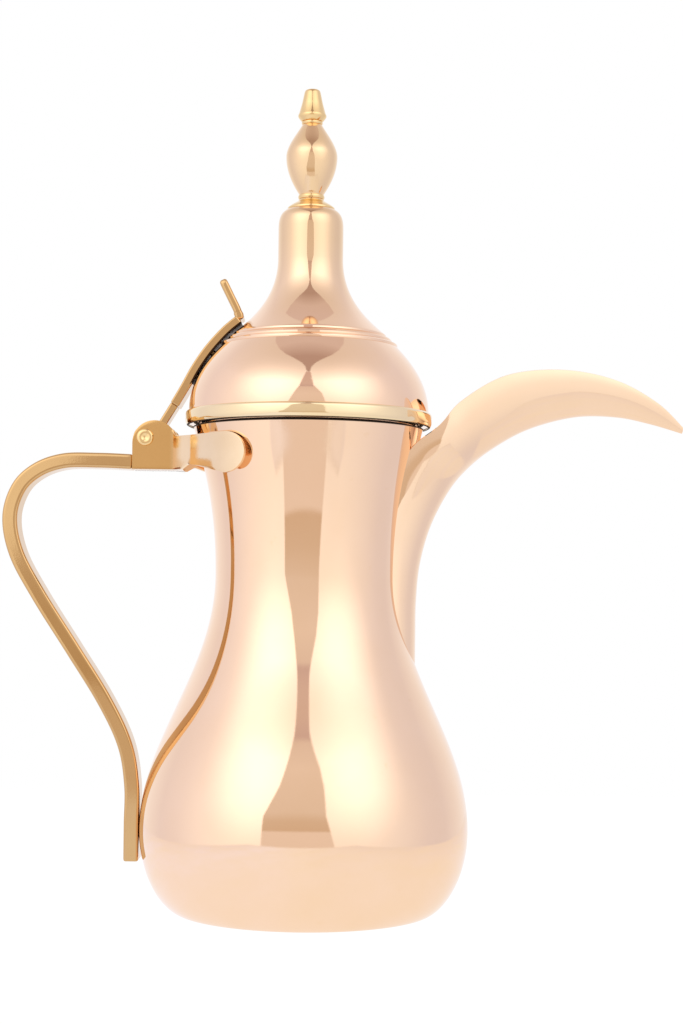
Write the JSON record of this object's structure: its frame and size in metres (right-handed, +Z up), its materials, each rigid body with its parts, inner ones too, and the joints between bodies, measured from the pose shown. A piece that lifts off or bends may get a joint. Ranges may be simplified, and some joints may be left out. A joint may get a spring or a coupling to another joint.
{
  "type": "dallah coffee pot",
  "caption": "Polished metal Arabic coffee pot with a waisted body, a crescent beak, a flat strap handle and a hinged bell-shaped lid with a turned finial",
  "frame": {"origin": "centre of the flat base, on the axis of the turned body, in the plane that the pot stands on", "axes": "+Z up along the body's axis, +X along the beak, -X along the handle, +Y to the left of someone who looks along the beak"},
  "size_m": [0.254, 0.1228, 0.3072],
  "materials": {
    "rose_gold_polished": "mirror-polished rose-gold plating on spun brass",
    "brass_polished": "polished yellow brass with light hand-polishing marks",
    "brass_satin": "satin yellow brass, folded from plate",
    "screw_steel": "plain steel screw, nut and washer inside the lid"
  },
  "bodies": {
    "pot": {"body_shell": "rose_gold_polished", "base_plate": "rose_gold_polished", "spout": "rose_gold_polished", "handle": "brass_polished", "hinge_bracket": "brass_satin", "hinge_pin": "brass_polished"},
    "lid": {"lid_dome": "rose_gold_polished", "lid_rim_band": "brass_polished", "lid_skirt": "rose_gold_polished", "lid_arm": "brass_polished", "arm_rivets": "brass_polished", "finial_collar": "brass_polished", "finial_lower_ring": "brass_polished", "finial_bulb": "rose_gold_polished", "finial_upper_ring": "brass_polished", "finial_tip": "brass_polished", "finial_screw": "screw_steel", "finial_nut": "screw_steel", "finial_washer": "screw_steel"}
  },
  "joints": [
    {"name": "lid_hinge", "type": "hinge", "parent": "pot", "child": "lid", "pos_m": [-0.0606, 0, 0.1758], "axis": [0, -1, 0], "range_deg": [0, 100]}
  ]
}
